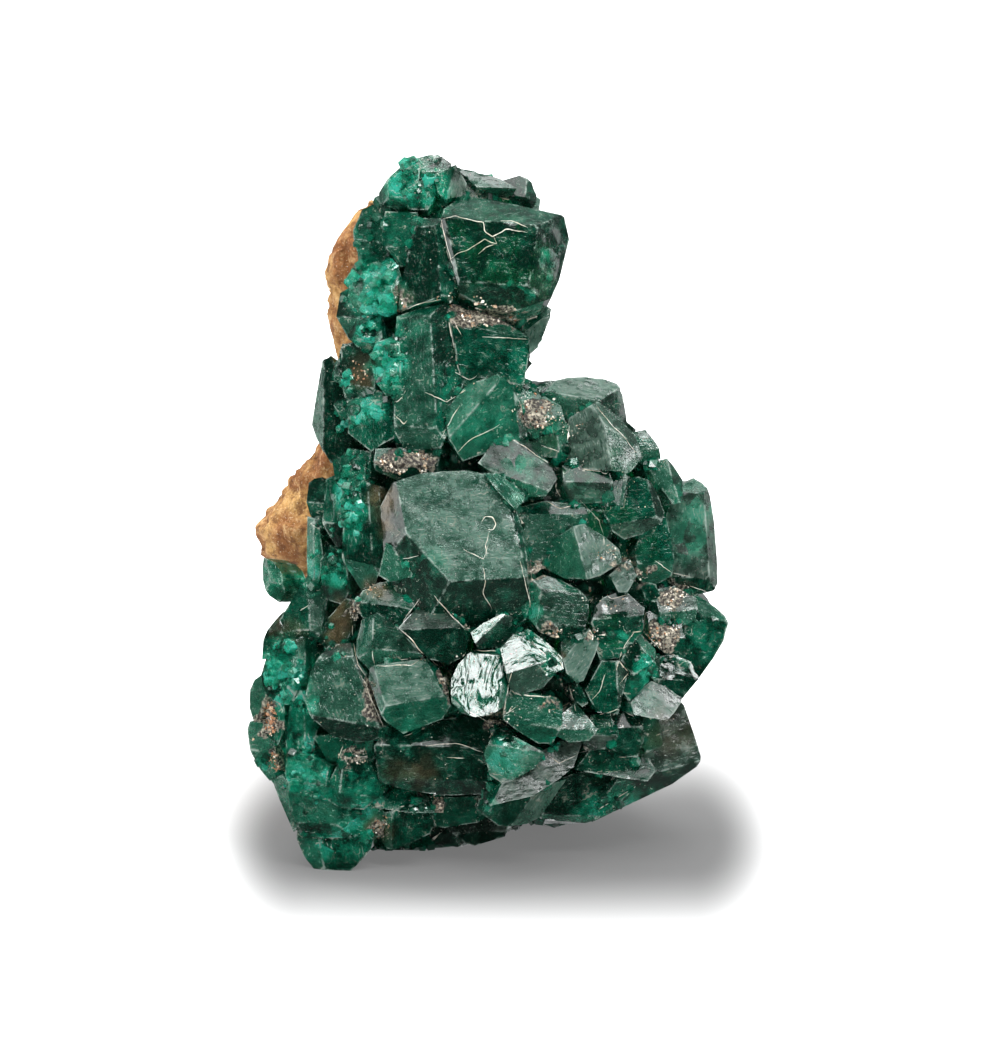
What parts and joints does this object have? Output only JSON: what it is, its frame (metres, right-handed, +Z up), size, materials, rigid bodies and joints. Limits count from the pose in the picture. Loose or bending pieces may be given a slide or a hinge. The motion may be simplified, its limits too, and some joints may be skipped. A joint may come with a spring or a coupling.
{
  "type": "dioptase specimen on matrix",
  "caption": "Upright cluster of deep green dioptase crystals grown together on a brown limonite rock, with a narrow column rising at the left.",
  "frame": {"origin": "middle of the specimen's bounding box, on the surface that it stands on", "axes": "+Z up along the specimen's height, -Y towards the crystal-covered front, +X to the viewer's right"},
  "size_m": [0.0482, 0.0408, 0.0697],
  "materials": {
    "dioptase": "glassy to frosted crystal faces, deep emerald green, see-through at thin edges",
    "matrix_rock": "rough porous brown limonite"
  },
  "bodies": {
    "root": {"dioptase_crystals": "dioptase", "left_edge_crystal": "dioptase", "rear_crystal_1": "dioptase", "rear_crystal_2": "dioptase", "rear_crystal_3": "dioptase", "rear_crystal_4": "dioptase", "matrix": "matrix_rock"}
  },
  "joints": []
}
